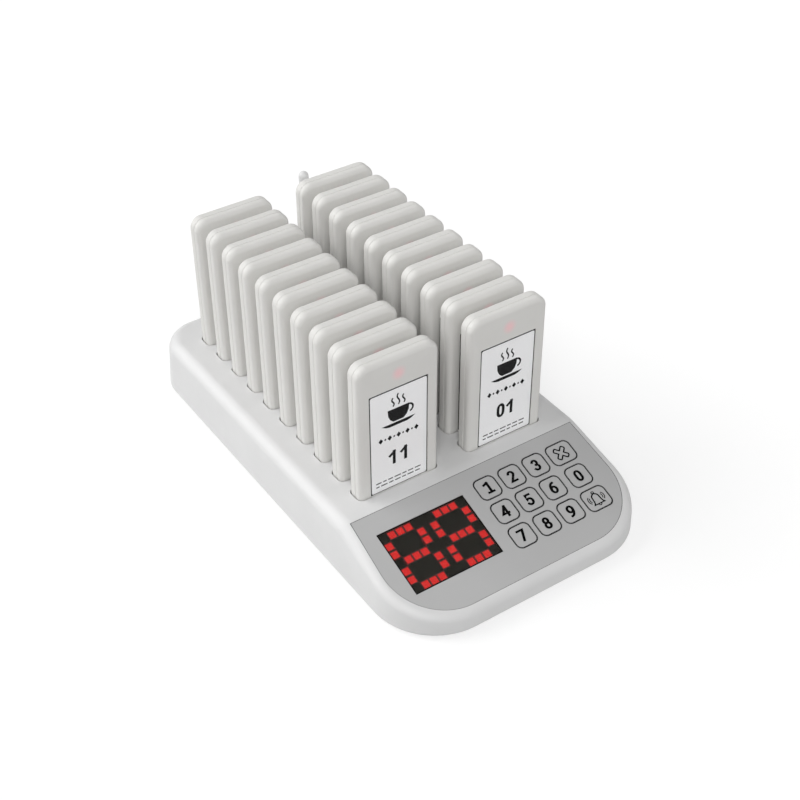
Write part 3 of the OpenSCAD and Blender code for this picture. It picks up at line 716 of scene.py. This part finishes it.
def figures(text, style, thickness, foot=False):
    # a number whose level strokes are thinner than its upright ones
    wide, high, line, thin = style["halfWidth"], style["halfHeight"], style["stroke"], style["thin"]
    shapes = []
    for i, character in enumerate(text):
        place = (i - (len(text) - 1) / 2) * style["pitch"]
        if character == "1":
            place += style["oneRight"]
        for k, middle in enumerate(figureLines(character, foot)):
            points = [Vector((x * wide, y * high / thin)) for x, y in middle]
            closed = middle[0] == middle[-1]
            if closed:
                points.pop()
            else:
                # square ends, half a stroke past the last point
                points[0] = points[0] + (points[0] - points[1]).normalized() * line / 2
                points[-1] = points[-1] + (points[-1] - points[-2]).normalized() * line / 2
            # a little thicker line by line, so that no two tops lie in one plane
            shape = stroke([tuple(p) for p in points], line, thickness * (1 + k / 8), closed)
            shapes.append(placed(shape, moveTo(place, 0, 0) @ Matrix.Diagonal((1, thin, 1, 1))))
    return together(shapes)


# half outlines from the cup's own foot; each wisp of steam has its x, foot and top
cup = {"y": 9.4, "wall": [(3.4, 2.6), (5.6, 4.6), (6.9, 7.6), (7.2, 11.6)],
       "saucer": [(6.0, -0.5), (8.6, 0.2), (11.4, 1.7)],
       "handleX": 7.0, "handleY": 8.1, "handleRadius": 2.7, "handleLine": 1.2,
       "steam": ((-3.6, 13.4, 19.4), (0, 13.6, 21.4), (3.6, 13.4, 19.4)),
       "steamSway": 0.75, "steamLine": 0.95, "steamSteps": 16}


def cupMotif(ink):
    # a plain cup on a saucer with three wisps of steam
    y, steps = cup["y"], cup["steamSteps"]
    shapes = [prism(shifted(mirrored(cup[part]), 0, y), 0, ink) for part in ("wall", "saucer")]
    handle = arc((cup["handleX"], y + cup["handleY"]), cup["handleRadius"], -78, 92, 12)
    shapes.append(stroke(handle, cup["handleLine"], ink))
    for x, low, high in cup["steam"]:
        wisp = [(x + cup["steamSway"] * math.sin(math.tau * t / steps), y + low + (high - low) * t / steps)
                for t in range(steps + 1)]
        shapes.append(stroke(wisp, cup["steamLine"], ink))
    return shapes


diamonds = {"y": 1.4, "count": 9, "spacing": 3.0, "large": 1.9, "small": 0.9, "narrow": 0.8}


def diamondRow(ink):
    # large and small diamonds in turn, a large one in the middle
    shapes, y, half = [], diamonds["y"], diamonds["count"] // 2
    for i in range(-half, half + 1):
        r, x = diamonds["small"] if i % 2 else diamonds["large"], i * diamonds["spacing"]
        w = r * diamonds["narrow"]
        shapes.append(prism([(x - w, y), (x, y - r), (x + w, y), (x, y + r)], 0, ink))
    return shapes


# each row has its y and the lengths of its dashes
rules = {"left": -15.6, "between": 1.1, "height": 0.85,
         "rows": ((-29.3, (3.6, 2.4, 3.2, 4.4, 2.8, 3.6, 4.0)),
                  (-31.9, (2.2, 4.4, 3.0, 3.8, 2.6, 4.2, 3.4)))}


def dashedRules(ink):
    shapes = []
    for y, lengths in rules["rows"]:
        x = rules["left"]
        for length in lengths:
            shapes.append(box((x, y, 0), (x + length, y + rules["height"], ink)))
            x += length + rules["between"]
    return shapes


def labelFrameAndRimShade(ink):
    # a dark frame round the card, part print and part painted shade from the rim of the pocket; part of it lies
    # behind the rim at the top and left
    w, h = label["width"] / 2 - label["play"], label["height"] / 2 - label["play"]
    left, right = label["frameLeft"] - w, w - label["frameRight"]
    foot, top = label["frameFoot"] - h, h - label["frameTop"]
    outer = roundedRect(2 * w, 2 * h, label["cardCorner"], 6)
    inner = shifted(roundedRect(right - left, top - foot, label["frameCorner"], 6),
                    (left + right) / 2, (foot + top) / 2)
    n, rings = len(outer), ((outer, 0), (outer, ink), (inner, ink), (inner, 0))
    corners = [Vector((x, y, z)) for outline, z in rings for x, y in outline]
    return corners, [face for k in range(4) for face in strip(n, n * k, n * ((k + 1) % 4))]


numberStyle = {"halfWidth": 1.9, "halfHeight": 4.2, "stroke": 2.0, "thin": 0.88, "pitch": 7.8,
               "oneRight": 0.0}


def labelPrint(number):
    # the print on the card, and its frame, which is part print and part painted shade of the pocket's rim
    ink = label["ink"]
    onNumber = moveTo(label["numberX"], label["numberY"], 0)
    digits = placed(figures(f"{number:02d}", numberStyle, ink), onNumber)
    # the cards of the right row sit a little lower
    drop = label["rightDrop"] if number <= slots["perRow"] else 0
    drawn = placed(together(cupMotif(ink) + diamondRow(ink) + [digits]), moveTo(0, -drop, 0))
    return flatMesh("labelPrint", placed(together([drawn, labelFrameAndRimShade(ink)]), onCard))


def labelSheet(name, low, high):
    sheet = prism(labelOutline(-label["play"], label["cardCorner"]), low, high)
    return flatMesh(name, placed(sheet, onLabel))


pads = {"radius": 2.35, "foot": -0.02, "top": 1.2}
padRods = [rod(s * slots["pinSpread"], 0, pads["foot"], pads["top"], pads["radius"], 24) for s in (-1, 1)]
padMesh = flatMesh("pagerPads", together(padRods))
frontHalf, backHalf = pagerHalf("pagerFront", -1), pagerHalf("pagerBack", 1)
cardMesh = labelSheet("labelCard", 0, label["card"])
coverMesh = labelSheet("labelCover", label["coverFrom"], label["coverTo"])
fineMesh = flatMesh("labelFine", placed(together(dashedRules(label["ink"])), onCard))
# name, mesh, material, slot, and the node it stands for in a pager that is broken down
pagerPieces = (
    ("pagerFront_", frontHalf, pagerFrontShell, "pager_shell", "_front_shell"),
    ("pagerBack_", backHalf, pagerBackShell, "pager_shell", "_back_shell"),
    ("labelCard_", cardMesh, labelPaper, "label_card", "_label_card"),
    ("labelCover_", coverMesh, clearCover, "clear_cover", "_label_cover"),
    ("labelPrintAndRimShade_", None, blackInkAndShade, "label_card", None),
    ("labelFine_", fineMesh, greyInk, "label_card", None),
    ("pagerPads_", padMesh, goldPin, "gilt", None))
openPagers = (1, slots["perRow"] + 1)
for number in pagerNumbers:
    body, foot = f"pager_{number:02d}", (*pagerPlace(number), pager["bottom"])
    for kind, mesh, material, slot, node in pagerPieces:
        if number in openPagers:
            nodes = [body + node] if node else []
        else:
            nodes = [body] if mesh is frontHalf else []
        mesh = mesh or labelPrint(number)
        addPiece(f"{kind}{number:02d}", mesh, material, body, nodes, foot)
print("pagers made")


# keypad: prints on the keys, the printed lines round them, and black rings of painted shade in the gaps
keyStyle = {"halfWidth": 1.68, "halfHeight": 3.25, "stroke": 1.68, "thin": 0.8, "pitch": 0.0,
            "oneRight": 1.0}
# sizes of the printed lines and signs, and of the black ring of painted shade in the gap round each key
keyInk = {"depth": 0.03, "lineOut": 0.24, "lineIn": 0.33, "shadeRingLine": 0.2, "shadeRingDrop": 0.13,
          "shadeRingHeight": 0.3, "signLine": 0.88, "fineLine": 0.58}
cross = {"arm": 4.75, "half": 1.3, "corner": 0.7}
# clapper and loop: y, radius, start, end; waves of sound: x, radius, spread to each side
bell = {"side": [(3.65, -3.6), (3.0, -2.9), (2.6, -1.6), (2.4, 0.6)], "domeY": 0.9, "dome": 2.4,
        "crown": (0.5, 3.6), "clapper": (-3.7, 1.05, 190, 350), "loop": (4.15, 0.85, -35, 215),
        "waveY": 0.2, "waves": ((2.2, 2.3, 40), (2.9, 2.85, 55))}


def keyLine(width, grow, line):
    return stroke(keyOutline(width, grow, 8), line, keyInk["depth"], True)


def keyGapShade(width):
    # a black ring in the gap round a key: painted shade where the deep gap lies
    outline = keyOutline(width, keypad["gap"] / 2, 8)
    gapShadeRing = stroke(outline, keyInk["shadeRingLine"], keyInk["shadeRingHeight"], True)
    return placed(gapShadeRing, moveTo(0, 0, -keyInk["shadeRingDrop"] - keyInk["shadeRingHeight"]))


def crossSign():
    # a cross in outline, with round corners at the ends of its arms
    arm, half, r = cross["arm"], cross["half"], cross["corner"]
    points = []
    for quarter in range(4):
        spin = Matrix.Rotation(math.radians(45 + 90 * quarter), 2)
        end = arc((arm - r, r - half), r, -90, 0, 4) + arc((arm - r, half - r), r, 0, 90, 4)
        points += [tuple(spin @ Vector(p)) for p in [(half, -half)] + end]
    return stroke(points, keyInk["signLine"], keyInk["depth"], True)


def bellSign():
    # a bell in outline with its clapper and loop, and two waves of sound on each side
    ink, fine = keyInk["depth"], keyInk["fineLine"]
    outline = mirrored(bell["side"] + arc((0, bell["domeY"]), bell["dome"], 0, 74, 7) + [bell["crown"]])
    shapes = [stroke(outline, keyInk["signLine"], ink, True)]
    for y, radius, start, end in (bell["clapper"], bell["loop"]):
        shapes.append(stroke(arc((0, y), radius, start, end, 10), fine, ink))
    for x, radius, spread in bell["waves"]:
        for side, middle in ((1, 0), (-1, 180)):
            wave = arc((side * x, bell["waveY"]), radius, middle - spread, middle + spread, 10)
            shapes.append(stroke(wave, fine, ink))
    return together(shapes)


signs = {"cancel": crossSign(), "call": bellSign()}
keyGaps = []
for i, key in enumerate(keypad["names"]):
    keyX, keyY, keyWidth = keyPlace(i)
    onKey = onSlope @ moveTo(keyX, keyY, faceplate["top"])
    drawing = signs.get(key) or figures(key, keyStyle, keyInk["depth"], foot=True)
    innerLine = keyLine(keyWidth, -keyInk["lineIn"] / 2, keyInk["lineIn"])
    outerLine = keyLine(keyWidth, keypad["gap"] + keyInk["lineOut"] / 2, keyInk["lineOut"])
    keyMesh = flatMesh("keyPrint", placed(together([drawing, innerLine]), onKey))
    addPiece("keyPrint_" + key, keyMesh, blackInkAndShade, "key_" + key)
    # the outer printed line, and the ring of painted shade in the gap
    keyGaps += [placed(outerLine, onKey), placed(keyGapShade(keyWidth), onKey)]
addPiece("keyOutlinesAndGapShade", flatMesh("keyOutlinesAndGapShade", together(keyGaps)), blackInkAndShade, "base")
print("keypad printed")


# display: two figures of square dots, seven high and five wide
dots = {"size": 4.3, "pitchX": 5.45, "pitchU": 5.85, "digitGap": 9.1, "glow": 0.55, "lift": 0.005,
        "ink": 0.01}


def glowRings():
    # a ring of red round each lit square of the two figures
    half, floor = (dots["size"] + dots["glow"]) / 2, faceplate["floor"] + dots["lift"]
    ring = squareLine(half, half, dots["glow"], dots["ink"])
    rings = []
    for digit in (-1, 1):
        digitX = window["x"] + digit * (2 * dots["pitchX"] + dots["digitGap"] / 2)
        for column in range(-2, 3):
            for row in range(-3, 4):
                if (column % 4 == 2) != (row % 3 == 0):
                    x, y = digitX + column * dots["pitchX"], row * dots["pitchU"] - window["u"]
                    rings.append(placed(ring, moveTo(x, y, floor)))
    return together(rings)


addPiece("dotGlow", flatMesh("dotGlow", placed(glowRings(), onSlope)), dotGlow, "base")

# a fine dark line round the faceplate, painted shade of the gap at its edge, and a dark line inside the edge of
# the window
gapShadeSizes = {"grow": 0.02, "line": 0.22, "ink": 0.02}
# a black ribbon over the gap round the faceplate: painted shade
gapShadeLine = stroke(faceplateOutline(gapShadeSizes["grow"]), gapShadeSizes["line"], gapShadeSizes["ink"], True)
gapShadeMesh = flatMesh("faceplateGapShade", placed(gapShadeLine, onSlope @ moveTo(0, 0, faceplate["top"])))
addPiece("faceplateGapShade", gapShadeMesh, blackInkAndShade, "base")
windowEdge = {"line": 0.5, "ink": 0.02}
edgeLine = squareLine((window["width"] - windowEdge["line"]) / 2,
                      (window["length"] - windowEdge["line"]) / 2, windowEdge["line"], windowEdge["ink"])
onWindow = onSlope @ moveTo(window["x"], -window["u"], faceplate["top"])
addPiece("windowEdge", flatMesh("windowEdge", placed(edgeLine, onWindow)), blackInkAndShade, "base")
inletPin = placed(rod(0, 0, inlet["pinFrom"], inlet["pinTo"], inlet["pin"], 24), onRearWall)
addPiece("inletPin", flatMesh("inletPin", inletPin), zincSteel, "base")
print("display and inlet made")


# floor, light and background; a lamp has its name, strength, spread in degrees and direction
studio = {"floorSize": 6.0, "floorBounce": 0.55, "floorColour": 0.42, "floorLift": 0.63,
          "worldLight": 0.22,
          "lamps": (("key", 0.727, 50.0, (-0.6, 0.6, 0.53)),
                    ("fill", 0.44, 30.0, (-0.435, -0.649, 0.6245)),
                    ("side", 0.165, 50.0, (0.6, -0.6, 0.53)))}
white = (1, 1, 1, 1)


def seenRays(tree):
    # 1 for rays from the camera, a reflection or a clear piece, 0 for rays that light the object
    path = makeNode(tree, "ShaderNodeLightPath")
    seen = path.outputs["Is Camera Ray"]
    for kind in ("Is Transmission Ray", "Is Glossy Ray"):
        inputs = {0: seen, 1: path.outputs[kind]}
        seen = makeNode(tree, "ShaderNodeMath", inputs, operation="MAXIMUM").outputs[0]
    return seen


def addFloor():
    half = studio["floorSize"] / 2
    mesh = bpy.data.meshes.new("floor")
    mesh.from_pydata([(-half, -half, 0), (half, -half, 0), (half, half, 0), (-half, half, 0)],
                     [], [(0, 1, 2, 3)])
    obj = bpy.data.objects.new("floor", mesh)
    scene.collection.objects.link(obj)
    # white where the camera or a reflection sees it, and duller where it only lights the object
    material, tree, surface = newMaterial(
        "paleFloor", Base_Color=shade(white, studio["floorColour"]), Roughness=0.9,
        Specular_IOR_Level=0.1, Emission_Color=white, Emission_Strength=studio["floorLift"])
    dull = makeNode(tree, "ShaderNodeBsdfDiffuse", {"Color": shade(white, studio["floorBounce"])})
    choose = makeNode(tree, "ShaderNodeMixShader",
                      {"Fac": seenRays(tree), 1: dull.outputs[0], 2: surface.outputs[0]})
    tree.links.new(choose.outputs[0], tree.nodes["Material Output"].inputs["Surface"])
    mesh.materials.append(material)


def addLight():
    world = bpy.data.worlds.new("studio")
    scene.world = world
    world.use_nodes = True
    tree = world.node_tree
    background = tree.nodes["Background"]
    background.inputs["Color"].default_value = white
    level = mapped(tree, seenRays(tree), studio["worldLight"], 1.0)
    tree.links.new(level, background.inputs["Strength"])
    for name, strength, spread, place in studio["lamps"]:
        sun = bpy.data.lights.new(name, "SUN")
        sun.energy, sun.angle = strength * math.pi, math.radians(spread)
        lamp = bpy.data.objects.new(name, sun)
        scene.collection.objects.link(lamp)
        lamp.rotation_mode = "QUATERNION"
        lamp.rotation_quaternion = Vector(place).to_track_quat("Z", "Y")


addFloor()
addLight()
print("floor and light placed")
